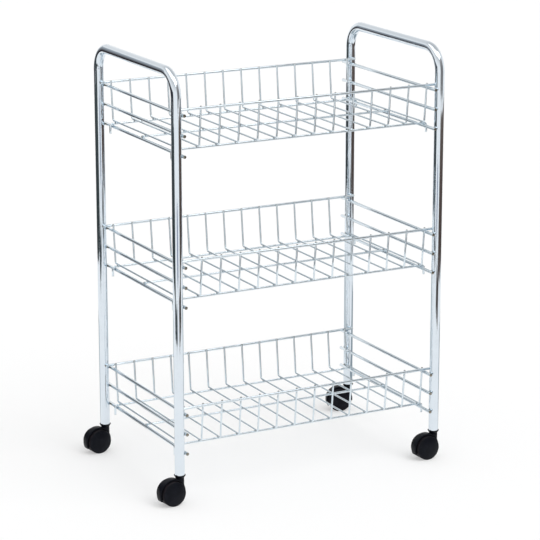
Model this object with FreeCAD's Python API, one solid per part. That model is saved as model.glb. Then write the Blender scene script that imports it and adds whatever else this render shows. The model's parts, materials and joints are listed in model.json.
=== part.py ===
# A three-tier wire cart on twin-wheel casters. Two bent tubes stand as end frames, side rods are welded
# to their inner faces, and a wire basket lies on the lowest rods of each tier and hooks over them.
# Frame: millimetres, origin on the floor midway between the four legs, +X to the right, +Z up.
import FreeCAD, Part
import math
import os

Vector = FreeCAD.Vector

# End frames: one tube each, bent twice into an upside-down U that is also the handle
LEG_SPACING_X = 441.0      # between the axes of the left and the right legs
LEG_SPACING_Y = 269.0      # between the axes of the front and the rear legs
HANDLE_TOP = 653.5         # top of the handle above the floor
TUBE_DIA = 15.0
TUBE_WALL = 1.2
TUBE_BEND = 35.0           # bend radius on the tube's axis

# Side rods: three on each side of each tier
TIER_NAMES = ("lower", "middle", "upper")
HAND_ROOM = 128.0          # top of the handle above the lowest rod of the upper tier
RODS_PER_TIER = 3
ROD_DIA = 5.0
ROD_PITCH = 30.0
ROD_OVERRUN = 7.0          # a rod's end past the axis of the leg that carries it
LOWEST_ROD = 76.5          # axis of the lowest rod above the floor

# Baskets: bent cross wires, a rim along the front and the rear, and runners under the floor
CROSS_WIRES = 14
CROSS_DIA = 2.8
CROSS_BEND = 3.5           # bend radius on the wire's axis, between floor and wall
CROSS_POKE = 0.5           # a wire's cut end above the top of its rim
WALL_LEAN = 6.0            # how far a wall leans out between its foot and its rim
RIM_DIA = 4.0
RIM_LIFT = 1.2             # clear height between a rim and the top rods
RIM_OVERRUN = 2.5          # a rim's end past the plane of the leg axes
RUNNER_DIA = 3.4
RUNNER_INSET = 8.5         # front and rear runners behind the foot of the wall
RUNNER_END = 2.0           # the middle runner's end past the axis of the rod it lies on
TAIL_DROP = 10.5           # end of a runner's hook below the axis of the rod it grips

# Casters: a socket in the leg, a stem, a hood with its neck, an axle and two wheels
WHEEL_DIA = 38.0
WHEEL_FACE = 11.0          # outer edge of the tread, from the caster's middle plane
WHEEL_CROWN = 4.0          # how far the wheel's face swells past the edge of the tread
CROWN_FLAT_DIA = 14.0      # flat middle of the swollen face
KNEE_DIA = 27.0            # where the swollen face turns flatter
KNEE_RISE = 2.4            # how far it has swollen there
TRAIL = 15.0               # axle behind the swivel axis
AXLE_DIA = 5.0
AXLE_HALF = 11.0           # half length of the axle
HOOD_THICK = 2.2           # wall of the hood over the treads
HOOD_WIDTH = 12.0
HOOD_FRONT = -8.0          # degrees above level at which the hood ends in front
HOOD_REAR = 208.0          # the same at the trailing end
WEB_THICK = 4.0            # web of the hood between the wheels
HUB_DIA = 12.0             # boss of the web round the axle
NECK_DIA = 13.0
STEM_DIA = 7.0
STEM_FLOOR = 0.6           # wall of the hood between the stem's foot and the room of the wheels
STEM_REACH = 36.0          # length of the stem above the neck
COLLAR_DIA = 18.0          # lip of the socket's collar
COLLAR_HEIGHT = 4.2        # from the collar's foot to its lip
COLLAR_SEAT = 2.0          # from the collar's foot to the seat of the leg's end
SOCKET_CAP = 2.0           # closed end of the socket over the stem
CASTER_TURNS = {           # swivel of each caster as it stands, in degrees from trailing to the left
    "front_left": 5.0,
    "front_right": 1.5,
    "rear_left": 5.0,
    "rear_right": -18.0,
}

# Clearances
WELD_GAP = 0.05            # between wires that are welded or lie on each other where they cross
BASKET_PLAY = 0.3          # between a basket and the rods or legs beside it
RUNNING_FIT = 0.05         # radial, between a pin and the bore that turns on it
PRESS_PLAY = 0.02          # radial, between pieces pressed together
END_PLAY = 0.3             # between the end of a pin and the bottom of its bore
WHEEL_PLAY = 0.4           # between a wheel and the web beside it
TREAD_PLAY = 0.8           # between the treads and the hood over them
SWIVEL_PLAY = 0.4          # between the collar and the neck and hood that turn under it

# Flats that stand for a round section, and straight runs that stand for a bend
TUBE_SIDES = 16
WIRE_SIDES = 8
WHEEL_SIDES = 24
TUBE_BEND_RUNS = 5
WIRE_BEND_RUNS = 1

# Places that follow from the sizes above
leg_x = LEG_SPACING_X / 2
leg_y = LEG_SPACING_Y / 2
handle_z = HANDLE_TOP - TUBE_DIA / 2
tube_bore = TUBE_DIA - 2 * TUBE_WALL
rod_x = leg_x - TUBE_DIA / 2 - ROD_DIA / 2 - WELD_GAP
tier_pitch = (HANDLE_TOP - HAND_ROOM - LOWEST_ROD) / (len(TIER_NAMES) - 1)
tier_height = (RODS_PER_TIER - 1) * ROD_PITCH
runner_rise = ROD_DIA / 2 + RUNNER_DIA / 2 + WELD_GAP
floor_rise = runner_rise + RUNNER_DIA / 2 + CROSS_DIA / 2 + WELD_GAP
rim_rise = tier_height + ROD_DIA / 2 + RIM_DIA / 2 + RIM_LIFT
rim_y = leg_y - TUBE_DIA / 2 - RIM_DIA / 2 - BASKET_PLAY
wall_slope = math.atan2(WALL_LEAN, rim_rise - floor_rise)
wall_y = rim_y - (RIM_DIA + CROSS_DIA) / 2 / math.cos(wall_slope) - WELD_GAP
foot_y = wall_y - WALL_LEAN
runner_y = foot_y - RUNNER_INSET
cross_x = rod_x - ROD_DIA / 2 - CROSS_DIA / 2 - BASKET_PLAY
axle_z = WHEEL_DIA / 2
hood_inner = WHEEL_DIA + 2 * TREAD_PLAY
hood_outer = hood_inner + 2 * HOOD_THICK
wheel_inner = WEB_THICK / 2 + WHEEL_PLAY
wheel_room = hood_inner / 2 / math.cos(math.pi / WHEEL_SIDES)
hood_reach = hood_outer / 2 / math.cos(math.pi / WHEEL_SIDES) + SWIVEL_PLAY
stem_foot = axle_z + math.sqrt(wheel_room ** 2 - (TRAIL - STEM_DIA / 2) ** 2) + STEM_FLOOR
collar_foot = axle_z + math.sqrt(hood_reach ** 2 - (TRAIL - NECK_DIA / 2) ** 2)
neck_top = collar_foot - SWIVEL_PLAY
collar_seat = collar_foot + COLLAR_SEAT
leg_end = collar_seat + WELD_GAP

RIGHT = Vector(1, 0, 0)
BACK = Vector(0, 1, 0)
UP = Vector(0, 0, 1)


def flat_ring(centre, first, second, across, sides):
    """Corners of a regular outline, in the plane of two directions, with a flat facing each of them."""
    corner_radius = across / 2 / math.cos(math.pi / sides)
    corners = []
    for step in range(sides + 1):
        angle = (2 * step + 1) * math.pi / sides
        arm = first * math.cos(angle) + second * math.sin(angle)
        corners.append(centre + arm * corner_radius)
    return corners


def flat_face(corners):
    return Part.Face(Part.makePolygon(corners))


def stacked(rings):
    """A solid through coaxial outlines with equally many corners, with flat faces from each to the next."""
    faces = [flat_face(rings[0]), flat_face(rings[-1])]
    for low, high in zip(rings, rings[1:]):
        for step in range(len(low) - 1):
            faces.append(flat_face([low[step], low[step + 1], high[step + 1], high[step], low[step]]))
    return Part.Solid(Part.Shell(faces))


def swept_bar(points, normal, across, sides):
    """A bar along straight runs in one plane, mitred where the runs meet. The normal is the plane's."""
    run = (points[1] - points[0]).normalize()
    section = Part.makePolygon(flat_ring(points[0], run.cross(normal), normal, across, sides))
    mitred = 1
    return Part.Wire(Part.makePolygon(points)).makePipeShell([section], True, False, mitred)


def bend_points(before, corner, after, radius, runs):
    """Ends of the straight runs that stand for a round bend at a corner, each a tangent of the bend."""
    back = (before - corner).normalize()
    ahead = (after - corner).normalize()
    half_angle = back.getAngle(ahead) / 2
    setback = radius / math.tan(half_angle)
    centre = corner + (back + ahead).normalize() * (radius / math.sin(half_angle))
    first = corner + back * setback - centre
    last = corner + ahead * setback - centre
    turn = first.getAngle(last)
    share = turn / (runs + 1)
    stretch = 1 / math.cos(share / 2) / math.sin(turn)
    points = []
    for step in range(runs + 1):
        part_turn = share * (step + 0.5)
        arm = first * math.sin(turn - part_turn) + last * math.sin(part_turn)
        points.append(centre + arm * stretch)
    return points


def bent_path(corners, radius, runs):
    """The corners of a path, with each one between the ends rounded off."""
    points = [corners[0]]
    for before, corner, after in zip(corners, corners[1:], corners[2:]):
        points += bend_points(before, corner, after, radius, runs)
    points.append(corners[-1])
    return points


def end_frame(x):
    """One hollow tube: up the front leg, over the handle and down the rear leg."""
    corners = [
        Vector(x, -leg_y, leg_end),
        Vector(x, -leg_y, handle_z),
        Vector(x, leg_y, handle_z),
        Vector(x, leg_y, leg_end),
    ]
    path = bent_path(corners, TUBE_BEND, TUBE_BEND_RUNS)
    outside = swept_bar(path, RIGHT, TUBE_DIA, TUBE_SIDES)
    return outside.cut(swept_bar(path, RIGHT, tube_bore, TUBE_SIDES))


def side_rods(x, bottom):
    """The rods that one side of a tier is made of, as separate bars."""
    reach = leg_y + ROD_OVERRUN
    rods = []
    for level in range(RODS_PER_TIER):
        z = bottom + level * ROD_PITCH
        rods.append(swept_bar([Vector(x, -reach, z), Vector(x, reach, z)], RIGHT, ROD_DIA, WIRE_SIDES))
    return Part.makeCompound(rods)


def basket_rim(side, bottom):
    """A straight rim wire, on the outside of the cross wires."""
    y = side * rim_y
    z = bottom + rim_rise
    reach = leg_x + RIM_OVERRUN
    return swept_bar([Vector(-reach, y, z), Vector(reach, y, z)], BACK, RIM_DIA, WIRE_SIDES)


def hooked_runner(side, bottom):
    """A floor runner whose ends pass over the lowest rods and hook down outside them."""
    y = side * runner_y
    z = bottom + runner_rise
    tail_x = rod_x + runner_rise + BASKET_PLAY
    tail_z = bottom - TAIL_DROP
    corners = [
        Vector(-tail_x, y, tail_z),
        Vector(-tail_x, y, z),
        Vector(tail_x, y, z),
        Vector(tail_x, y, tail_z),
    ]
    return swept_bar(bent_path(corners, runner_rise, WIRE_BEND_RUNS), BACK, RUNNER_DIA, WIRE_SIDES)


def middle_runner(bottom):
    """The straight runner under the middle of the floor, which lies on the lowest rods."""
    z = bottom + runner_rise
    reach = rod_x + RUNNER_END
    return swept_bar([Vector(-reach, 0, z), Vector(reach, 0, z)], BACK, RUNNER_DIA, WIRE_SIDES)


def cross_wires(bottom):
    """Every cross wire of a basket: down the rear wall, along the floor and up the front wall."""
    floor_z = bottom + floor_rise
    top_z = bottom + rim_rise + RIM_DIA / 2 + CROSS_POKE
    top_y = foot_y + (top_z - floor_z) * math.tan(wall_slope)
    spacing = 2 * cross_x / (CROSS_WIRES - 1)
    wires = []
    for index in range(CROSS_WIRES):
        x = index * spacing - cross_x
        corners = [
            Vector(x, top_y, top_z),
            Vector(x, foot_y, floor_z),
            Vector(x, -foot_y, floor_z),
            Vector(x, -top_y, top_z),
        ]
        wires.append(swept_bar(bent_path(corners, CROSS_BEND, WIRE_BEND_RUNS), RIGHT, CROSS_DIA, WIRE_SIDES))
    return Part.makeCompound(wires)


def upright(bottom, top, across):
    """A prism round the swivel axis."""
    return flat_face(flat_ring(UP * bottom, RIGHT, BACK, across, TUBE_SIDES)).extrude(UP * (top - bottom))


def caster_socket():
    """The plug in the leg's end: a collar that flares to a lip round the tube, and a bore for the stem."""
    lip = collar_foot + COLLAR_HEIGHT
    bore_end = neck_top + STEM_REACH + END_PLAY
    foot_ring = flat_ring(UP * collar_foot, RIGHT, BACK, NECK_DIA, TUBE_SIDES)
    lip_ring = flat_ring(UP * lip, RIGHT, BACK, COLLAR_DIA, TUBE_SIDES)
    collar = stacked([foot_ring, lip_ring])
    collar = collar.cut(upright(collar_seat, lip, TUBE_DIA + 2 * PRESS_PLAY))
    plug = upright(collar_foot, bore_end + SOCKET_CAP, tube_bore - 2 * PRESS_PLAY)
    bore = Part.makeCylinder(STEM_DIA / 2 + RUNNING_FIT, bore_end - collar_foot, UP * collar_foot)
    return collar.fuse(plug).cut(bore)


def caster_stem():
    """The steel pin that the caster swivels on, held in the neck."""
    return Part.makeCylinder(STEM_DIA / 2, neck_top + STEM_REACH - stem_foot, UP * stem_foot)


def level_disc(start, end, across):
    """A prism round the axle, between two planes that are given from the caster's middle plane."""
    centre = Vector(-TRAIL, start, axle_z)
    return flat_face(flat_ring(centre, RIGHT, UP, across, WHEEL_SIDES)).extrude(BACK * (end - start))


def hood():
    """The moulded hood: a roof over the treads, a web between the wheels and the neck of the stem."""
    web = WEB_THICK / 2
    body = level_disc(-HOOD_WIDTH / 2, HOOD_WIDTH / 2, hood_outer)
    body = body.fuse(upright(axle_z, neck_top, NECK_DIA))
    body = body.cut(level_disc(web, NECK_DIA, hood_inner))
    body = body.cut(level_disc(-NECK_DIA, -web, hood_inner))
    centre = Vector(-TRAIL, -HOOD_WIDTH, axle_z)
    outline = [centre]
    for share in (0, 0.5, 1):
        angle = math.radians(HOOD_FRONT - share * (360 + HOOD_FRONT - HOOD_REAR))
        outline.append(centre + Vector(math.cos(angle), 0, math.sin(angle)) * (2 * hood_outer))
    outline.append(centre)
    below = flat_face(outline).extrude(BACK * (2 * HOOD_WIDTH))
    body = body.cut(below).fuse(level_disc(-web, web, HUB_DIA))
    axle_bore = Part.makeCylinder(AXLE_DIA / 2 + PRESS_PLAY, WEB_THICK, Vector(-TRAIL, -web, axle_z), BACK)
    stem_bore = Part.makeCylinder(STEM_DIA / 2 + PRESS_PLAY, neck_top - stem_foot, UP * stem_foot)
    return body.cut(axle_bore).cut(stem_bore).removeSplitter()


def axle():
    """The steel axle through the web, with a wheel on each end."""
    return Part.makeCylinder(AXLE_DIA / 2, 2 * AXLE_HALF, Vector(-TRAIL, -AXLE_HALF, axle_z), BACK)


def wheel(way):
    """One wheel: a plain tread, a swollen outer face and a blind bore for the axle."""
    sections = (
        (wheel_inner, WHEEL_DIA),
        (WHEEL_FACE, WHEEL_DIA),
        (WHEEL_FACE + KNEE_RISE, KNEE_DIA),
        (WHEEL_FACE + WHEEL_CROWN, CROWN_FLAT_DIA),
    )
    rings = []
    for along, across in sections:
        centre = Vector(-TRAIL, way * along, axle_z)
        rings.append(flat_ring(centre, RIGHT, UP, across, WHEEL_SIDES))
    body = stacked(rings)
    bore_foot = Vector(-TRAIL, way * wheel_inner, axle_z)
    bore_depth = AXLE_HALF + END_PLAY - wheel_inner
    return body.cut(Part.makeCylinder(AXLE_DIA / 2 + RUNNING_FIT, bore_depth, bore_foot, BACK * way))


pieces = {
    "left_end_frame": end_frame(-leg_x),
    "right_end_frame": end_frame(leg_x),
}

for tier, tier_name in enumerate(TIER_NAMES):
    bottom = LOWEST_ROD + tier * tier_pitch
    pieces[tier_name + "_left_rods"] = side_rods(-rod_x, bottom)
    pieces[tier_name + "_right_rods"] = side_rods(rod_x, bottom)
    pieces[tier_name + "_cross_wires"] = cross_wires(bottom)
    pieces[tier_name + "_front_rim"] = basket_rim(-1, bottom)
    pieces[tier_name + "_rear_rim"] = basket_rim(1, bottom)
    pieces[tier_name + "_front_runner"] = hooked_runner(-1, bottom)
    pieces[tier_name + "_rear_runner"] = hooked_runner(1, bottom)
    pieces[tier_name + "_middle_runner"] = middle_runner(bottom)

for corner, turn in CASTER_TURNS.items():
    leg = Vector(-leg_x, -leg_y, 0)
    if corner.endswith("right"):
        leg.x = leg_x
    if corner.startswith("rear"):
        leg.y = leg_y
    turning = {
        "stem": caster_stem(),
        "hood": hood(),
        "axle": axle(),
        "near_wheel": wheel(-1),
        "far_wheel": wheel(1),
    }
    for piece_name, shape in turning.items():
        shape.rotate(Vector(), UP, turn)
        shape.translate(leg)
        pieces[corner + "_" + piece_name] = shape
    socket = caster_socket()
    socket.translate(leg)
    pieces[corner + "_socket"] = socket

os.makedirs("parts", exist_ok=True)
for name, shape in pieces.items():
    shape.exportStep("parts/" + name + ".step")
    print(name, len(shape.Solids), "solids", round(shape.Volume / 1000, 3), "cm3")
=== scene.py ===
# %% [markdown]
# # A wire cart on casters
# The cart is two bent chrome tubes with three wire baskets between them, on four black swivel casters.
# Its solids are loaded first as a fixed frame in metres, with the floor at zero and +Z up. The smooth
# tubes, wires and mouldings of this lesson go exactly where those solids are, so their places are read
# from the solids' boxes and joints and not guessed.

# %% Load the frame
import json
import math
import bmesh
import bpy
from mathutils import Matrix, Vector


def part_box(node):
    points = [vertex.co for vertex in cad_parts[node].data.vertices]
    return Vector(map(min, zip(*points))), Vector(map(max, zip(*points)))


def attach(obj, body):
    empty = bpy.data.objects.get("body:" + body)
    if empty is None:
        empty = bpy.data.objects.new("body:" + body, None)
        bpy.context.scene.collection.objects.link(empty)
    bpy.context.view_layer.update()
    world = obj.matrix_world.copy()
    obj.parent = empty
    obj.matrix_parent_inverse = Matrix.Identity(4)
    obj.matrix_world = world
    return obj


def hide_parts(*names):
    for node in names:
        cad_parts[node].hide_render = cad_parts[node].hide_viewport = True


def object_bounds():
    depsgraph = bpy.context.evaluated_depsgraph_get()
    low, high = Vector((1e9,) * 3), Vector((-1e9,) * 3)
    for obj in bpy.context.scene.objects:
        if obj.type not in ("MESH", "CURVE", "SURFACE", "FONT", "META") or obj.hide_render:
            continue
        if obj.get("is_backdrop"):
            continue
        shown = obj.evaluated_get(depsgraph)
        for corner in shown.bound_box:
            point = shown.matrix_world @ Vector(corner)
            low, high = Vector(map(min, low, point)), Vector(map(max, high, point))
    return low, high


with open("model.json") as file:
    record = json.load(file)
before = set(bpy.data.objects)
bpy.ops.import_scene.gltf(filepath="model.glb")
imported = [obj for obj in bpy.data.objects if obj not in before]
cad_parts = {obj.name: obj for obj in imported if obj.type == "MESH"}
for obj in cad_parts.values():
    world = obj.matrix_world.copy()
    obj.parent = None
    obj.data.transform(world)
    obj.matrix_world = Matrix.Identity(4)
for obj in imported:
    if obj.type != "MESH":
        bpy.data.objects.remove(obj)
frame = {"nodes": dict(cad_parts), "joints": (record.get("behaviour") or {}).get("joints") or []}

cad_low, cad_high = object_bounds()
CORNERS = ("front_left", "front_right", "rear_left", "rear_right")
TIERS = ("lower", "middle", "upper")
MM = 0.001
print("frame:", len(frame["nodes"]), "solids' nodes, top at", round(cad_high.z / MM, 1), "mm")

# %% [markdown]
# ## Camera
# The cart is seen from the front left and a little from above, through a long lens, because its legs
# hardly converge. A camera could be aimed with a constraint, but a plain place, turn and pitch say more
# to a reader and can be copied to another program.

# %% Camera
CAMERA_PLACE = Vector((-1.6819, -3.1680, 1.2601))
CAMERA_YAW = math.radians(28.0)
CAMERA_PITCH = math.radians(15.004)
IMAGE_WIDTH = 540
FOCAL_PIXELS = 2403.5

camera = bpy.data.objects.new("camera", bpy.data.cameras.new("camera"))
camera.location = CAMERA_PLACE
camera.rotation_euler = (math.pi / 2 - CAMERA_PITCH, 0, -CAMERA_YAW)
camera.data.lens = FOCAL_PIXELS / IMAGE_WIDTH * camera.data.sensor_width
bpy.context.scene.collection.objects.link(camera)
bpy.context.scene.camera = camera
bpy.context.scene.view_settings.view_transform = "Standard"
print("camera: lens", round(camera.data.lens, 1), "mm, distance", round(CAMERA_PLACE.length, 2), "m")

# %% [markdown]
# ## Colours and shader nodes
# Colours are written as the hex values that a paint program shows. Shaders count in linear light, so
# one function turns hex to linear. Another adds a shader node, sets its values and makes its links.
# Real surfaces vary from place to place, so the others make noise of a given size, a colour between
# two colours, and fine bumps. A mix node has sockets for several kinds of value under the same names,
# so its colours are reached by number.

# %% Helpers for materials
MIX_FIRST, MIX_SECOND, MIX_RESULT = 6, 7, 2
PLAIN_NOISE = 0.5


def linear(hex_colour):
    """Linear red, green, blue and alpha of an sRGB hex colour."""
    channels = [int(hex_colour[place:place + 2], 16) / 255 for place in (1, 3, 5)]
    return [((c + 0.055) / 1.055) ** 2.4 if c > 0.04045 else c / 12.92 for c in channels] + [1.0]


def add_node(tree, kind, settings, links=()):
    """A new node with its properties or sockets set, and links as pairs of own socket and source."""
    node = tree.nodes.new(kind)
    for name, value in settings.items():
        if isinstance(name, int) or name in node.inputs:
            node.inputs[name].default_value = value
        else:
            setattr(node, name, value)
    for name, source in links:
        tree.links.new(source, node.inputs[name])
    return node


def new_material(name):
    """A material with its node tree, its main shader and the place on the object as texture place."""
    material = bpy.data.materials.new(name)
    material.use_nodes = True
    tree = material.node_tree
    place = add_node(tree, "ShaderNodeTexCoord", {}).outputs["Object"]
    return material, tree, tree.nodes["Principled BSDF"], place


def noise(tree, place, patch_mm, detail, roughness=PLAIN_NOISE):
    """Noise from zero to one whose patches have about the given size."""
    settings = {"Scale": 1 / (patch_mm * MM), "Detail": detail, "Roughness": roughness}
    return add_node(tree, "ShaderNodeTexNoise", settings, [("Vector", place)]).outputs["Fac"]


def spread(tree, value, settings):
    """A value mapped from one range to another."""
    return add_node(tree, "ShaderNodeMapRange", settings, [("Value", value)]).outputs["Result"]


def blend(tree, share, first, second):
    """A colour between two hex colours."""
    settings = {"data_type": "RGBA", MIX_FIRST: linear(first), MIX_SECOND: linear(second)}
    return add_node(tree, "ShaderNodeMix", settings, [("Factor", share)]).outputs[MIX_RESULT]


def bumps(tree, height, depth_mm):
    """A surface normal that follows a height of the given depth."""
    settings = {"Strength": 1.0, "Distance": depth_mm * MM}
    return add_node(tree, "ShaderNodeBump", settings, [("Height", height)]).outputs["Normal"]


def connect(tree, shader, sources):
    for name, source in sources.items():
        tree.links.new(source, shader.inputs[name])


print("hex #808080 is", round(linear("#808080")[0], 3), "in linear light")

# %% [markdown]
# ## Chrome plate
# Tubes, rods and wires are steel, drawn smooth, welded and then plated with nickel and chromium. Chrome
# is a slightly blue mirror. What shows that it is a plated part and not an ideal mirror is a faint haze
# that comes and goes over a few centimetres, and a ripple of a few millimetres under the plate. Thin
# wire takes a less even plate than tube, so it gets a little more of both. Sheared ends and weld beads
# are rough under the plate. Their dark brown-grey tone is painted shade, for the shade in the gaps
# where rods and wires cross and meet the legs.

# %% Chrome materials
HAZE_RANGE = {"From Min": 0.3, "From Max": 0.7}


def plated_steel(name, clear, hazy, smooth, dull, haze_mm, ripple_mm, ripple_depth_mm):
    """Chrome with hazy patches over a slightly rippled surface."""
    material, tree, shader, place = new_material(name)
    shader.inputs["Metallic"].default_value = 1.0
    haze = noise(tree, place, haze_mm, detail=4.0, roughness=0.6)
    ripple = noise(tree, place, ripple_mm, detail=1.0)
    connect(tree, shader, {
        "Base Color": blend(tree, haze, clear, hazy),
        "Roughness": spread(tree, haze, HAZE_RANGE | {"To Min": smooth, "To Max": dull}),
        "Normal": bumps(tree, ripple, ripple_depth_mm),
    })
    return material


chrome_tube = plated_steel("chrome_on_drawn_tube", "#e4ecf3", "#d9e2ea", 0.05, 0.11, 25, 6, 0.010)
chrome_rod = plated_steel("chrome_on_drawn_rod", "#e1eaf0", "#d4dee5", 0.06, 0.12, 15, 4, 0.008)
chrome_wire = plated_steel("chrome_on_welded_wire", "#e3edf3", "#d7e1e8", 0.07, 0.14, 10, 3, 0.008)
# Welds and cut ends: a rough plate, with a dark brown-grey colour that is painted shade of the gaps at the
# crossings.
weld_chrome_with_painted_shade = plated_steel("chrome_on_welds_and_cuts_with_painted_shade", "#a09c90", "#78736a", 0.18, 0.34, 4, 1.5, 0.04)
print("chrome:", [m.name for m in (chrome_tube, chrome_rod, chrome_wire, weld_chrome_with_painted_shade)])

# %% [markdown]
# ## Black nylon and plain steel
# Hoods, sockets and wheels are injection-moulded nylon, coloured through with carbon black. The mould is
# spark-eroded, which leaves a fine satin grain. Handling polishes the swollen faces a little, and the
# treads pick up grey-brown dust. The pins are bare drawn steel, with lines along the draw.

# %% Nylon and steel materials
NYLON_IOR = 1.53
# The room is white all round, which would wash black nylon out, so its reflection is held back.
NYLON_REFLECTION = 0.1
WEAR_RANGE = {"From Min": 0.42, "From Max": 0.68}


def moulded_nylon(name, dark, worn, satin, rubbed, wear_mm, grain_mm, grain_depth_mm):
    """Satin nylon with worn patches and a fine grain."""
    material, tree, shader, place = new_material(name)
    shader.inputs["IOR"].default_value = NYLON_IOR
    shader.inputs["Specular IOR Level"].default_value = NYLON_REFLECTION
    wear = spread(tree, noise(tree, place, wear_mm, detail=5.0, roughness=0.65), WEAR_RANGE)
    grain = noise(tree, place, grain_mm, detail=2.0)
    connect(tree, shader, {
        "Base Color": blend(tree, wear, dark, worn),
        "Roughness": spread(tree, wear, {"To Min": satin, "To Max": rubbed}),
        "Normal": bumps(tree, grain, grain_depth_mm),
    })
    return material


# The grain of such a mould is about 0.1 mm. It is drawn at 0.5 mm, so that it still shows close up.
black_nylon = moulded_nylon("black_moulded_nylon", "#070a12", "#11131b", 0.40, 0.29, 9, 0.5, 0.012)
black_tread = moulded_nylon("black_nylon_with_floor_dust", "#100f14", "#241f24", 0.52, 0.66, 5, 0.5, 0.02)


def drawn_steel(name, light, dark, polished, dull, line_mm, line_length_mm):
    """Bare steel with lines along Z, as drawing leaves them."""
    material, tree, shader, place = new_material(name)
    shader.inputs["Metallic"].default_value = 1.0
    stretch = (1 / (line_mm * MM), 1 / (line_mm * MM), 1 / (line_length_mm * MM))
    drawn = add_node(tree, "ShaderNodeMapping", {"Scale": stretch}, [("Vector", place)])
    lines = add_node(tree, "ShaderNodeTexNoise", {"Scale": 1.0, "Detail": 2.0},
                     [("Vector", drawn.outputs["Vector"])]).outputs["Fac"]
    connect(tree, shader, {
        "Base Color": blend(tree, lines, dark, light),
        "Roughness": spread(tree, lines, {"To Min": polished, "To Max": dull}),
    })
    return material


steel_pin = drawn_steel("drawn_steel_pin", "#b4b6ba", "#8d8f94", 0.22, 0.42, 0.4, 12)
for corner in CORNERS:
    for pin in ("stem", "axle"):
        pin_mesh = frame["nodes"][corner + "_" + pin].data
        pin_mesh.materials.clear()
        pin_mesh.materials.append(steel_pin)
print("nylon and steel:", [m.name for m in (black_nylon, black_tread, steel_pin)])

# %% [markdown]
# ## Bending bar
# A wire bender feeds a bar straight, then swings it round a former, then feeds it again. A curve with a
# round bevel would give the same shape, but a ring of edges that is extruded for each feed and spun for
# each swing shows the work as it is done, and leaves an even mesh on the bends.

# %% Feed, swing and cut
CUT_FINISH = 1
SHARP_ANGLE = math.radians(38)


def new_edges(made):
    """The edges among new geometry whose two ends are new as well."""
    verts = {part for part in made if isinstance(part, bmesh.types.BMVert)}
    edges = [part for part in made if isinstance(part, bmesh.types.BMEdge)]
    return [edge for edge in edges if verts.issuperset(edge.verts)]


def feed(mesh, ring, move):
    """Extrudes a ring straight ahead and returns the ring at the new end."""
    made = bmesh.ops.extrude_edge_only(mesh, edges=ring)["geom"]
    verts = [part for part in made if isinstance(part, bmesh.types.BMVert)]
    bmesh.ops.translate(mesh, verts=verts, vec=move)
    return new_edges(made)


def swing(mesh, ring, centre, axis, angle, steps):
    """Spins a ring round a former and returns the ring at the new end."""
    made = bmesh.ops.spin(mesh, geom=ring, cent=centre, axis=axis, angle=angle, steps=steps,
                          use_merge=False, use_normal_flip=False, use_duplicate=False)
    return new_edges(made["geom_last"])


def start_ring(mesh, centre, ahead, diameter, sides):
    """A ring of edges that faces the direction in which the bar is fed."""
    turn = Vector((0, 0, 1)).rotation_difference(ahead).to_matrix().to_4x4()
    place = Matrix.Translation(centre) @ turn
    made = bmesh.ops.create_circle(mesh, segments=sides, radius=diameter / 2, matrix=place)
    return list({edge for vertex in made["verts"] for edge in vertex.link_edges})


def round_off(mesh, corners, radius, kind, segments, finish=-1):
    """Rounds edges or vertices. A finish of minus one leaves each new face the finish next to it."""
    bmesh.ops.bevel(mesh, geom=corners, offset=radius, offset_type="OFFSET", affect=kind, segments=segments,
                    profile=0.5, material=finish)


def cut_end(mesh, ring, burr):
    """Closes a bar's end flat, with its sharp edge taken off. The cut has the piece's second finish."""
    for face in bmesh.ops.edgeloop_fill(mesh, edges=ring)["faces"]:
        face.material_index = CUT_FINISH
    round_off(mesh, ring, burr, "EDGES", 2, CUT_FINISH)


def bend_bar(mesh, corners, radius, diameter, sides, steps):
    """Makes a bar along the corners of a path, bent round each corner, and returns its two end rings."""
    here = corners[0]
    first = ring = start_ring(mesh, here, corners[1] - corners[0], diameter, sides)
    for before, corner, after in zip(corners, corners[1:], corners[2:]):
        ahead = (corner - before).normalized()
        onward = (after - corner).normalized()
        angle = ahead.angle(onward)
        axis = ahead.cross(onward).normalized()
        stop = corner - ahead * (radius * math.tan(angle / 2))
        centre = stop + axis.cross(ahead) * radius
        ring = feed(mesh, ring, stop - here)
        ring = swing(mesh, ring, centre, axis, angle, steps)
        here = corner + onward * (radius * math.tan(angle / 2))
    ring = feed(mesh, ring, corners[-1] - here)
    return first, ring


def straight_bar(mesh, start, length, diameter, sides):
    """A bar without bends, as its two end rings."""
    return bend_bar(mesh, [start, start + length], radius=0, diameter=diameter, sides=sides, steps=1)


def finish_piece(mesh, name, materials, body, replaced):
    """Makes a bmesh a shaded piece that rides on a body and stands for the solids it replaces."""
    bmesh.ops.recalc_face_normals(mesh, faces=mesh.faces)
    data = bpy.data.meshes.new(name)
    mesh.to_mesh(data)
    mesh.free()
    for material in materials:
        data.materials.append(material)
    data.shade_smooth()
    data.set_sharp_from_angle(angle=SHARP_ANGLE)
    piece = bpy.data.objects.new(name, data)
    bpy.context.scene.collection.objects.link(piece)
    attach(piece, body)
    if replaced:
        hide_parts(*replaced)
    return piece


print("bars are bent by feed and swing")

# %% [markdown]
# ## End frames
# Each end frame is one tube, bent twice, so the two legs and the handle between them are one piece. The
# tube stands on the seat of its caster sockets and is bored for their plugs. Its places come from the
# box of its solid: the width in X is the tube's diameter.

# %% Two bent tubes
TUBE_BEND = 35 * MM
TUBE_WALL = 1.2 * MM
PLUG_DEPTH = 40 * MM
TUBE_SIDES = 40
TUBE_BEND_STEPS = 14

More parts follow.
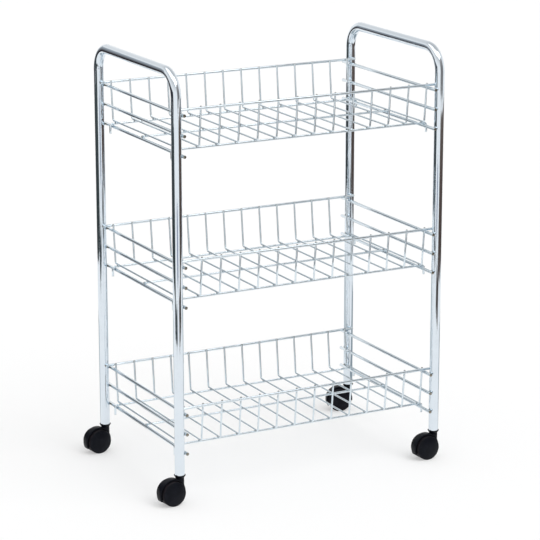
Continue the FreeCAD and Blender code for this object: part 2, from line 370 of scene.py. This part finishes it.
for side in ("left", "right"):
    low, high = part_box(side + "_end_frame")
    tube = high.x - low.x
    x = (low.x + high.x) / 2
    y = high.y - tube / 2
    handle_z = high.z - tube / 2
    corners = [Vector((x, -y, low.z)), Vector((x, -y, handle_z)),
               Vector((x, y, handle_z)), Vector((x, y, low.z))]
    mesh = bmesh.new()
    ends = bend_bar(mesh, corners, TUBE_BEND, tube, TUBE_SIDES, TUBE_BEND_STEPS)
    for ring, end in zip(ends, (corners[0], corners[3])):
        lip = feed(mesh, ring, Vector())
        lip_verts = list({vertex for edge in lip for vertex in edge.verts})
        bore = 1 - 2 * TUBE_WALL / tube
        bmesh.ops.scale(mesh, verts=lip_verts, vec=(bore, bore, 1), space=Matrix.Translation(-end))
        bmesh.ops.edgeloop_fill(mesh, edges=feed(mesh, lip, Vector((0, 0, PLUG_DEPTH))))
    piece = finish_piece(mesh, side + "_bent_tube", [chrome_tube], "cart",
                         [side + "_end_frame"])
    print(piece.name, round(tube / MM, 2), "mm tube, legs", round(2 * y / MM, 1), "mm apart,",
          len(piece.data.polygons), "faces")
leg_x = abs(x)
leg_y = y
tube_radius = tube / 2

# %% [markdown]
# ## Side rods
# Three straight rods on each side of a tier are welded across the inner faces of the legs. They are cut
# to length with a shear and tumbled, which leaves a small round on the edge of each end.

# %% Eighteen rods
RODS_PER_SIDE = 3
ROD_BURR = 0.5 * MM
ROD_SIDES = 20
BACK = Vector((0, 1, 0))

for tier in TIERS:
    for side in ("left", "right"):
        low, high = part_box(tier + "_" + side + "_rods")
        rod = high.x - low.x
        rod_pitch = (high.z - low.z - rod) / (RODS_PER_SIDE - 1)
        mesh = bmesh.new()
        for level in range(RODS_PER_SIDE):
            start = Vector(((low.x + high.x) / 2, low.y, low.z + rod / 2 + level * rod_pitch))
            for ring in straight_bar(mesh, start, BACK * (high.y - low.y), rod, ROD_SIDES):
                cut_end(mesh, ring, ROD_BURR)
        piece = finish_piece(mesh, tier + "_" + side + "_drawn_rods", [chrome_rod, weld_chrome_with_painted_shade], "cart",
                             [tier + "_" + side + "_rods"])
    print(tier, "rods", round(rod / MM, 2), "mm,", round(rod_pitch / MM, 1), "mm apart,",
          len(piece.data.polygons), "faces a side")

# %% [markdown]
# ## Basket rims and runners
# A basket has a straight rim along its front and its rear, and three runners under its floor. The front
# and rear runners reach over the lowest side rods and hook down outside them, so that the basket can't
# slide off. The middle one only lies on the rods.

# %% Rims and runners
WIRE_BURR = 0.4 * MM
WIRE_SIDES = 16
HOOK_STEPS = 8
RIGHT = Vector((1, 0, 0))

for tier in TIERS:
    for row in ("front_rim", "rear_rim", "middle_runner"):
        low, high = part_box(tier + "_" + row)
        wire = high.z - low.z
        start = Vector((low.x, (low.y + high.y) / 2, low.z + wire / 2))
        mesh = bmesh.new()
        for ring in straight_bar(mesh, start, RIGHT * (high.x - low.x), wire, WIRE_SIDES):
            cut_end(mesh, ring, WIRE_BURR)
        finish_piece(mesh, tier + "_" + row + "_wire", [chrome_wire, weld_chrome_with_painted_shade], "cart",
                     [tier + "_" + row])
    for row in ("front_runner", "rear_runner"):
        low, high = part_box(tier + "_" + row)
        wire = high.y - low.y
        y = (low.y + high.y) / 2
        left, right, top = low.x + wire / 2, high.x - wire / 2, high.z - wire / 2
        corners = [Vector((left, y, low.z)), Vector((left, y, top)),
                   Vector((right, y, top)), Vector((right, y, low.z))]
        hook_radius = (wire + rod) / 2
        mesh = bmesh.new()
        for ring in bend_bar(mesh, corners, hook_radius, wire, WIRE_SIDES, HOOK_STEPS):
            cut_end(mesh, ring, WIRE_BURR)
        piece = finish_piece(mesh, tier + "_" + row + "_wire", [chrome_wire, weld_chrome_with_painted_shade], "cart",
                             [tier + "_" + row])
    print(tier, "runners hook", round((top - low.z) / MM, 1), "mm down,",
          len(piece.data.polygons), "faces each")

# %% [markdown]
# ## Cross wires
# Fourteen thin wires make the floor and both walls of a basket. Each one comes down inside the rear rim,
# turns under a tight bend, crosses the floor on the runners and goes up inside the front rim. The walls
# lean out a little, so a wire's path is found from the rim it touches and the floor it lies on.

# %% Forty-two bent wires
CROSS_WIRES = 14
CROSS_DIA = 2.8 * MM
CROSS_BEND = 3.5 * MM
WALL_LEAN = 6 * MM
CROSS_SIDES = 14
CROSS_BEND_STEPS = 7

for tier in TIERS:
    low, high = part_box(tier + "_cross_wires")
    rim_low, rim_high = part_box(tier + "_rear_rim")
    floor_z = low.z + CROSS_DIA / 2
    rim_z = (rim_low.z + rim_high.z) / 2
    slope = math.atan2(WALL_LEAN, rim_z - floor_z)
    top_z = high.z - CROSS_DIA / 2 * math.sin(slope)
    top_y = high.y - CROSS_DIA / 2 * math.cos(slope)
    foot_y = top_y - (top_z - floor_z) * math.tan(slope)
    first_x = low.x + CROSS_DIA / 2
    spacing = -2 * first_x / (CROSS_WIRES - 1)
    mesh = bmesh.new()
    for index in range(CROSS_WIRES):
        x = first_x + index * spacing
        corners = [Vector((x, top_y, top_z)), Vector((x, foot_y, floor_z)),
                   Vector((x, -foot_y, floor_z)), Vector((x, -top_y, top_z))]
        for ring in bend_bar(mesh, corners, CROSS_BEND, CROSS_DIA, CROSS_SIDES, CROSS_BEND_STEPS):
            cut_end(mesh, ring, WIRE_BURR)
    piece = finish_piece(mesh, tier + "_bent_cross_wires", [chrome_wire, weld_chrome_with_painted_shade], "cart",
                         [tier + "_cross_wires"])
    print(tier, "cross wires", round(spacing / MM, 2), "mm apart, wall foot at",
          round(foot_y / MM, 2), "mm,", len(piece.data.polygons), "faces")

# %% [markdown]
# ## Weld beads
# Wires are spot-welded where they cross, and rods are welded to the legs. Each weld squeezes out a small
# bead between the two, which the plating covers. A bead is a ball pressed flat: few faces are enough,
# because there are over two hundred of them.

# %% Beads at every crossing
SPOT_WIDTH = 3.4 * MM
SPOT_THICK = 1.5 * MM
ROD_WELD_HEIGHT = 5 * MM
ROD_WELD_LENGTH = 7 * MM
ROD_WELD_THICK = 2.2 * MM


def bead(mesh, centre, width, length, height):
    """A flattened ball at a crossing, with its sizes along X, Y and Z."""
    place = Matrix.Translation(centre) @ Matrix.Diagonal((width / 2, length / 2, height / 2, 1.0))
    bmesh.ops.create_uvsphere(mesh, u_segments=8, v_segments=6, radius=1.0, matrix=place)


for tier in TIERS:
    low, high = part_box(tier + "_cross_wires")
    runner_low, runner_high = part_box(tier + "_front_runner")
    rim_low, rim_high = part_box(tier + "_rear_rim")
    rim_z = (rim_low.z + rim_high.z) / 2
    runner_y = (runner_low.y + runner_high.y) / 2
    mesh = bmesh.new()
    for index in range(CROSS_WIRES):
        x = low.x + CROSS_DIA / 2 + index * spacing
        for y in (runner_y, 0, -runner_y):
            bead(mesh, Vector((x, y, runner_high.z)), SPOT_WIDTH, SPOT_WIDTH, SPOT_THICK)
        for way in (-1, 1):
            bead(mesh, Vector((x, way * rim_low.y, rim_z)), SPOT_WIDTH, SPOT_THICK, SPOT_WIDTH)
    piece = finish_piece(mesh, tier + "_spot_welds", [weld_chrome_with_painted_shade], "cart", [])
    mesh = bmesh.new()
    for side in ("left", "right"):
        low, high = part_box(tier + "_" + side + "_rods")
        contact_x = math.copysign(leg_x - tube_radius, low.x)
        for level in range(RODS_PER_SIDE):
            z = low.z + rod / 2 + level * rod_pitch
            for way in (-1, 1):
                contact = Vector((contact_x, way * leg_y, z))
                bead(mesh, contact, ROD_WELD_THICK, ROD_WELD_LENGTH, ROD_WELD_HEIGHT)
    finish_piece(mesh, tier + "_rod_welds", [weld_chrome_with_painted_shade], "cart", [])
    print(tier, "beads on the basket have", len(piece.data.polygons), "faces")

# %% [markdown]
# ## Where the casters stand
# Each caster swivels about the axis of its leg, and its axle trails behind that axis. Every caster is
# modelled once about its own swivel axis, trailing to the left, and then turned and moved to its leg.
# The joints of the frame give both the axle's place and how far each caster is turned.

# %% Places of the casters
joints = {joint["name"]: joint for joint in frame["joints"]}
caster_place = {}
for corner in CORNERS:
    swivel = joints[corner + "_swivel"]["pos_m"]
    axle_axis = joints[corner + "_near_spin"]["axis"]
    turn = Matrix.Rotation(math.atan2(-axle_axis[0], axle_axis[1]), 4, "Z")
    caster_place[corner] = Matrix.Translation((swivel[0], swivel[1], 0)) @ turn
axle_spot = caster_place["front_left"].inverted() @ Vector(joints["front_left_near_spin"]["pos_m"])
print("axle", round(-axle_spot.x / MM, 2), "mm behind the swivel axis,",
      round(axle_spot.z / MM, 2), "mm up")

# %% [markdown]
# ## Turned profiles
# Sockets and wheels are round about one axis. Their half section is drawn as a line of a few corners,
# some corners are rounded with a vertex bevel, and the line is spun once round the axis. Rounded edges
# matter on black plastic, because they are where it catches the light.

# %% Spin a half section
UP = Vector((0, 0, 1))
SAME_SPOT = 0.002 * MM


def turned(mesh, corners, rounds, centre, axis, out, steps):
    """Spins a half section of (along, radius) corners round an axis. Rounds maps corners to radii."""
    section = [mesh.verts.new(centre + axis * along + out * radius) for along, radius in corners]
    for here, following in zip(section, section[1:]):
        mesh.edges.new((here, following))
    for index, radius in rounds.items():
        round_off(mesh, [section[index]], radius, "VERTICES", 5)
    bmesh.ops.spin(mesh, geom=mesh.verts[:] + mesh.edges[:], cent=centre, axis=axis, angle=2 * math.pi,
                   steps=steps, use_merge=True)
    bmesh.ops.remove_doubles(mesh, verts=mesh.verts, dist=SAME_SPOT)


print("half sections are drawn, rounded and spun")

# %% [markdown]
# ## Sockets
# The socket is a nylon plug driven into the end of the leg. Its collar flares from the neck of the caster
# to a lip round the tube, and its bore holds the stem. Only the collar shows.

# %% Four sockets
LIP_THICK = 0.9 * MM
COLLAR_HEIGHT = 4.2 * MM
NECK_DIA = 13 * MM
STEM_BORE = 7.1 * MM
SOCKET_CAP = 2 * MM
PRESS_PLAY = 0.02 * MM
SOCKET_ROUNDS = {1: 0.6 * MM, 4: 0.3 * MM, 5: 0.35 * MM, 6: 0.4 * MM}
SOCKET_STEPS = 48

for corner in CORNERS:
    low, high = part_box(corner + "_socket")
    leg_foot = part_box(corner.split("_")[1] + "_end_frame")[0].z
    lip = (high.x - low.x) / 2
    plug = tube_radius - TUBE_WALL - PRESS_PLAY
    lip_z, bore_z = low.z + COLLAR_HEIGHT, high.z - SOCKET_CAP
    section = [(high.z, 0), (high.z, plug), (leg_foot, plug), (leg_foot, tube_radius + PRESS_PLAY),
               (lip_z, lip - LIP_THICK), (lip_z, lip), (low.z, NECK_DIA / 2),
               (low.z, STEM_BORE / 2), (bore_z, STEM_BORE / 2), (bore_z, 0)]
    mesh = bmesh.new()
    turned(mesh, section, SOCKET_ROUNDS, caster_place[corner].translation, UP, RIGHT, SOCKET_STEPS)
    piece = finish_piece(mesh, corner + "_collar_socket", [black_nylon], "cart",
                         [corner + "_socket"])
print("collar", round(2 * lip / MM, 1), "mm wide,", len(piece.data.polygons), "faces each")

# %% [markdown]
# ## Wheels
# A twin-wheel caster has two thin wheels with a plain tread and a swollen outer face, like a pair of
# buttons. The swell is a shallow arc from the shoulder to the middle, and the arc's radius follows from
# its rise. The tread has a finish of its own, because it gathers floor dust.

# %% Eight wheels
WHEEL_INNER = 2.4 * MM
WHEEL_FACE = 11 * MM
WHEEL_CROWN = 4 * MM
SHOULDER = 0.5 * MM
AXLE_BORE = 5.1 * MM
BORE_END = 11.3 * MM
CROWN_STEPS = 10
TREAD_MARGIN = 0.3 * MM
WHEEL_ROUNDS = {2: 0.3 * MM, 3: 0.7 * MM, 4: 0.9 * MM}
WHEEL_STEPS = 64
NYLON, TREAD = 0, 1
wheel_radius = axle_spot.z
face_radius = wheel_radius - SHOULDER
rise = WHEEL_CROWN - SHOULDER
arc_radius = (face_radius ** 2 + rise ** 2) / (2 * rise)
arc_centre = WHEEL_FACE + WHEEL_CROWN - arc_radius

section = [(BORE_END, 0), (BORE_END, AXLE_BORE / 2), (WHEEL_INNER, AXLE_BORE / 2),
           (WHEEL_INNER, wheel_radius), (WHEEL_FACE, wheel_radius)]
for step in range(CROWN_STEPS + 1):
    radius = face_radius * (1 - step / CROWN_STEPS)
    section.append((arc_centre + math.sqrt(arc_radius ** 2 - radius ** 2), radius))

for corner in CORNERS:
    for wheel_name, way in (("near_wheel", -1), ("far_wheel", 1)):
        mesh = bmesh.new()
        turned(mesh, section, WHEEL_ROUNDS, axle_spot, BACK * way, UP, WHEEL_STEPS)
        for face in mesh.faces:
            middle = face.calc_center_median() - axle_spot
            on_tread = math.hypot(middle.x, middle.z) > wheel_radius - TREAD_MARGIN
            face.material_index = TREAD if on_tread else NYLON
        mesh.transform(caster_place[corner])
        body = corner + "_" + wheel_name.replace("wheel", "roller")
        piece = finish_piece(mesh, corner + "_" + wheel_name + "_disc", [black_nylon, black_tread], body,
                             [corner + "_" + wheel_name])
print("wheels", round(2 * wheel_radius / MM, 1), "mm,", len(piece.data.polygons), "faces each")

# %% [markdown]
# ## Hoods
# The hood is one moulding: a roof over the treads, a web between the wheels with a boss for the axle, and
# a neck that holds the stem. Roof and web together have a T-shaped section, which is swung round the axle
# from the front to the trailing end. The neck stands on the roof, so its foot follows the roof's arc.

# %% Four hoods
HOOD_FRONT = math.radians(-8)
HOOD_REAR = math.radians(208)
HOOD_WIDTH = 12 * MM
TREAD_PLAY = 0.8 * MM
HOOD_THICK = 2.2 * MM
WEB_THICK = 4 * MM
WEB_FOOT_ROUND = 0.5 * MM
HUB_RADIUS = 6 * MM
HUB_OVERLAP = 0.5 * MM
HUB_ROUND = 0.3 * MM
SWIVEL_PLAY = 0.4 * MM
HOOD_ROUND = 1.4 * MM
HOOD_EDGE_ROUND = 0.4 * MM
HOOD_END_ROUND = 0.35 * MM
NECK_ROUND = 0.6 * MM
HOOD_STEPS = 48
NECK_SIDES = 48
HUB_STEPS = 32
TOUCHING = 0.01 * MM
room = wheel_radius + TREAD_PLAY
roof = room + HOOD_THICK
half_web, half_roof = WEB_THICK / 2, HOOD_WIDTH / 2
web_start = HUB_RADIUS - HUB_OVERLAP
neck_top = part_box("front_left_socket")[0].z - SWIVEL_PLAY
outline = [(web_start, -half_web), (room, -half_web), (room, -half_roof), (roof, -half_roof),
           (roof, half_roof), (room, half_roof), (room, half_web), (web_start, half_web)]
hood_rounds = {1: WEB_FOOT_ROUND, 2: HOOD_EDGE_ROUND, 3: HOOD_ROUND,
               4: HOOD_ROUND, 5: HOOD_EDGE_ROUND, 6: WEB_FOOT_ROUND}
hub_section = [(-half_web, AXLE_BORE / 2), (-half_web, HUB_RADIUS), (half_web, HUB_RADIUS),
               (half_web, AXLE_BORE / 2), (-half_web, AXLE_BORE / 2)]


def add_roof_and_web(mesh):
    """Swings the T-shaped section round the axle, closes its rear end and rounds both ends."""
    arm = Vector((math.cos(HOOD_FRONT), 0, math.sin(HOOD_FRONT)))
    section = [mesh.verts.new(axle_spot + arm * out + BACK * along) for out, along in outline]
    mesh.faces.new(section)
    for index, radius in hood_rounds.items():
        round_off(mesh, [section[index]], radius, "VERTICES", 4)
    front_end = mesh.edges[:]
    rear_end = swing(mesh, front_end, axle_spot, -BACK, HOOD_REAR - HOOD_FRONT, HOOD_STEPS)
    bmesh.ops.edgeloop_fill(mesh, edges=rear_end)
    round_off(mesh, front_end + rear_end, HOOD_END_ROUND, "EDGES", 2)


def add_neck(mesh):
    """A cylinder whose foot is lifted onto the roof's arc, with the foot's face cut into flat strips."""
    middle = Matrix.Translation((0, 0, (neck_top + axle_spot.z) / 2))
    neck = bmesh.ops.create_cone(mesh, cap_ends=True, segments=NECK_SIDES, radius1=NECK_DIA / 2,
                                 radius2=NECK_DIA / 2, depth=neck_top - axle_spot.z, matrix=middle)
    verts = neck["verts"]
    top = {vertex for vertex in verts if vertex.co.z > middle.translation.z}
    foot = [vertex for vertex in verts if vertex not in top]
    top_edges = [edge for edge in mesh.edges if top.issuperset(edge.verts)]
    reach = (room + roof) / 2
    for vertex in foot:
        vertex.co.z = axle_spot.z + math.sqrt(max(0, reach ** 2 - (vertex.co.x - axle_spot.x) ** 2))
    for vertex in foot:
        mirrored = vertex.co * Vector((1, -1, 1))
        across = [other for other in foot if (other.co - mirrored).length < TOUCHING]
        if vertex.co.y < 0 and across[0] is not vertex:
            bmesh.ops.connect_verts(mesh, verts=[vertex, across[0]])
    round_off(mesh, top_edges, NECK_ROUND, "EDGES", 3)


def add_hub(mesh):
    """The boss round the axle, made on its own because a turned section spins all that a mesh holds."""
    hub = bmesh.new()
    turned(hub, hub_section, {1: HUB_ROUND, 2: HUB_ROUND}, axle_spot, BACK, UP, HUB_STEPS)
    data = bpy.data.meshes.new("hub")
    hub.to_mesh(data)
    hub.free()
    mesh.from_mesh(data)
    bpy.data.meshes.remove(data)


for corner in CORNERS:
    mesh = bmesh.new()
    add_roof_and_web(mesh)
    add_neck(mesh)
    add_hub(mesh)
    mesh.transform(caster_place[corner])
    piece = finish_piece(mesh, corner + "_moulded_hood", [black_nylon], corner + "_caster",
                         [corner + "_hood"])
print("hoods", round(2 * roof / MM, 1), "mm across, neck up to", round(neck_top / MM, 1), "mm,",
      len(piece.data.polygons), "faces each")

# %% [markdown]
# ## Floor
# The cart stands on a plain white floor. To the camera, and in the chrome, the floor is white because it
# gives most of its light by itself, and the rest of its brightness is lamp light, so that the cart still
# throws a soft shadow on it. To all other rays it is an ordinary pale floor.

# %% White floor
GLOW_SHARE = 0.38
FLOOR_HALF = 30.0


def rays_that_see(tree):
    """One for camera rays, reflections and rays through glass, and zero for the rays that carry light."""
    rays = add_node(tree, "ShaderNodeLightPath", {})
    seen = add_node(tree, "ShaderNodeMath", {"operation": "MAXIMUM"},
                    [(0, rays.outputs["Is Camera Ray"]), (1, rays.outputs["Is Glossy Ray"])])
    return add_node(tree, "ShaderNodeMath", {"operation": "MAXIMUM"},
                    [(0, seen.outputs[0]), (1, rays.outputs["Is Transmission Ray"])]).outputs[0]


def empty_tree(owner):
    """The node tree of a material or a world, with nothing in it."""
    owner.use_nodes = True
    owner.node_tree.nodes.clear()
    return owner.node_tree


def mix_shaders(tree, share, first, second):
    """A shader between two shaders."""
    links = [(0, share), (1, first.outputs[0]), (2, second.outputs[0])]
    return add_node(tree, "ShaderNodeMixShader", {}, links)


def stage_piece(mesh, name, material):
    """An object that stands round the cart and isn't part of it."""
    data = bpy.data.meshes.new(name)
    mesh.to_mesh(data)
    mesh.free()
    data.materials.append(material)
    made = bpy.data.objects.new(name, data)
    bpy.context.scene.collection.objects.link(made)
    made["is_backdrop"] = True
    return made


floor_paint = bpy.data.materials.new("white_painted_floor")
tree = empty_tree(floor_paint)
share = add_node(tree, "ShaderNodeMath", {"operation": "MULTIPLY", 1: GLOW_SHARE},
                 [(0, rays_that_see(tree))])
glow = add_node(tree, "ShaderNodeEmission", {"Color": linear("#ffffff"), "Strength": 1.0})
paint = add_node(tree, "ShaderNodeBsdfDiffuse", {"Color": linear("#f6f6f6")})
mix = mix_shaders(tree, share.outputs[0], paint, glow)
add_node(tree, "ShaderNodeOutputMaterial", {}, [("Surface", mix.outputs[0])])

mesh = bmesh.new()
bmesh.ops.create_grid(mesh, x_segments=1, y_segments=1, size=FLOOR_HALF)
floor = stage_piece(mesh, "floor", floor_paint)
print("floor:", round(floor.dimensions.x), "m square")

# %% [markdown]
# ## Light
# Soft light from all round comes from the world, and one broad lamp from above gives the wheels their
# sheen and the floor its shadow. What the camera and the chrome see of the world is brighter than the
# light it gives: white at eye level, and dimmer towards the ceiling, so that wires don't shine white all
# round.

# %% World and lamp
SOFT_LIGHT = 0.8
CEILING = 0.6
FADE_START, FADE_END = 0.2, 0.85
LAMP_FROM = Vector((0.25, -0.55, 0.8))
LAMP_STRENGTH = 1.2
LAMP_SPREAD = math.radians(45)

world = bpy.data.worlds.new("studio")
bpy.context.scene.world = world
tree = empty_tree(world)
soft = add_node(tree, "ShaderNodeBackground", {"Color": linear("#ffffff"), "Strength": SOFT_LIGHT})
direction = add_node(tree, "ShaderNodeTexCoord", {}).outputs["Generated"]
height = add_node(tree, "ShaderNodeSeparateXYZ", {}, [("Vector", direction)]).outputs["Z"]
fade = spread(tree, height, {"From Min": FADE_START, "From Max": FADE_END,
                             "To Min": 1.0, "To Max": CEILING})
white = add_node(tree, "ShaderNodeBackground", {"Color": linear("#ffffff")}, [("Strength", fade)])
mix = mix_shaders(tree, rays_that_see(tree), soft, white)
add_node(tree, "ShaderNodeOutputWorld", {}, [("Surface", mix.outputs[0])])

lamp = bpy.data.objects.new("broad_lamp", bpy.data.lights.new("broad_lamp", "SUN"))
lamp.data.energy = LAMP_STRENGTH
lamp.data.angle = LAMP_SPREAD
lamp.rotation_euler = LAMP_FROM.to_track_quat("Z", "Y").to_euler()
bpy.context.scene.collection.objects.link(lamp)
print("lamp", round(math.degrees(math.asin(LAMP_FROM.normalized().z))), "degrees above the floor")

# %% [markdown]
# ## Cards for the chrome
# Chrome shows only what stands round it, and in an all-white room it would vanish. So, as in a product
# studio, dark and grey cards lie on the floor and stand at the sides, out of view. Only reflections see
# them, and they draw the dark lines along tubes and wires. A bright card overhead draws the white patch
# on the front bend of each handle. Each card is one upright or flat edge, swung about the middle of the
# cart between two bearings.

# %% Dark and bright cards
CARDS = {
    # name: near edge and far or top edge as (distance, height) in metres, bearings from the camera, tones
    "left_front_card": ((1.12, 0.002), (1.38, 0.010), (15, 60), ("#3a4044", "#3a4044")),
    "right_front_card": ((0.98, 0.002), (1.38, 0.010), (-15, -62), ("#4a413e", "#4a413e")),
    "left_floor_card": ((0.30, 0.002), (0.95, 0.010), (108, 150), ("#aab4b8", "#aab4b8")),
    "right_floor_card": ((0.30, 0.002), (0.95, 0.010), (-104, -150), ("#98a2a8", "#98a2a8")),
    "left_side_card": ((1.40, 0.002), (1.40, 0.370), (44, 110), ("#3a4142", "#4a5152")),
    "left_rear_card": ((1.40, 0.002), (1.40, 1.000), (104, 136), ("#343033", "#b9bec4")),
    "right_side_card": ((1.40, 0.002), (1.40, 0.370), (-42, -136), ("#544843", "#665a54")),
    "right_upper_card": ((1.42, 0.400), (1.42, 1.800), (-25, -84), ("#868484", "#b4b0b0")),
    "middle_card": ((1.60, 0.002), (1.60, 0.180), (-11, 11), ("#8a90a6", "#a0a6b8")),
    "left_upper_card": ((1.41, 0.372), (1.41, 0.720), (50, 106), ("#3a3a40", "#3a3a40")),
    "overhead_card": ((0.10, 2.300), (1.50, 2.310), (140, -60), ("#ffffff", "#ffffff")),
}
CARD_STEPS = 16
PLAIN_SHARE = 0.3
OVERHEAD_GLOW = 1.7
toward_camera = Vector((CAMERA_PLACE.x, CAMERA_PLACE.y, 0)).normalized()


def card_paint(name, bottom, top, tones):
    """A glow that keeps its first tone over the card's lower part and fades to the second at its top."""
    paint = bpy.data.materials.new(name + "_paint")
    tree = empty_tree(paint)
    place = add_node(tree, "ShaderNodeTexCoord", {}).outputs["Object"]
    height = add_node(tree, "ShaderNodeSeparateXYZ", {}, [("Vector", place)]).outputs["Z"]
    climb = spread(tree, height, {"From Min": bottom + PLAIN_SHARE * (top - bottom), "From Max": top})
    tone = blend(tree, climb, *tones)
    strength = OVERHEAD_GLOW if name == "overhead_card" else 1.0
    glow = add_node(tree, "ShaderNodeEmission", {"Strength": strength}, [("Color", tone)])
    add_node(tree, "ShaderNodeOutputMaterial", {}, [("Surface", glow.outputs[0])])
    return paint


for name, (near, far, bearings, tones) in CARDS.items():
    mesh = bmesh.new()
    start = Matrix.Rotation(math.radians(-bearings[0]), 3, "Z") @ toward_camera
    ends = [mesh.verts.new(start * distance + UP * height) for distance, height in (near, far)]
    swing(mesh, [mesh.edges.new(ends)], Vector(), UP, math.radians(bearings[0] - bearings[1]), CARD_STEPS)
    made = stage_piece(mesh, name, card_paint(name, near[1], far[1], tones))
    made.visible_camera = made.visible_diffuse = made.visible_transmission = made.visible_shadow = False
print("cards:", len(CARDS))

# %% [markdown]
# ## Size
# The dressed cart has to stay as large as its solids. The last cell measures how far its box reaches
# past the box of the solids and prints it.

# %% Compare the boxes and finish
made_low, made_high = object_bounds()
below, above = cad_low - made_low, made_high - cad_high
print("grown by", [round(max(pair) / MM, 3) for pair in zip(below, above)], "mm")
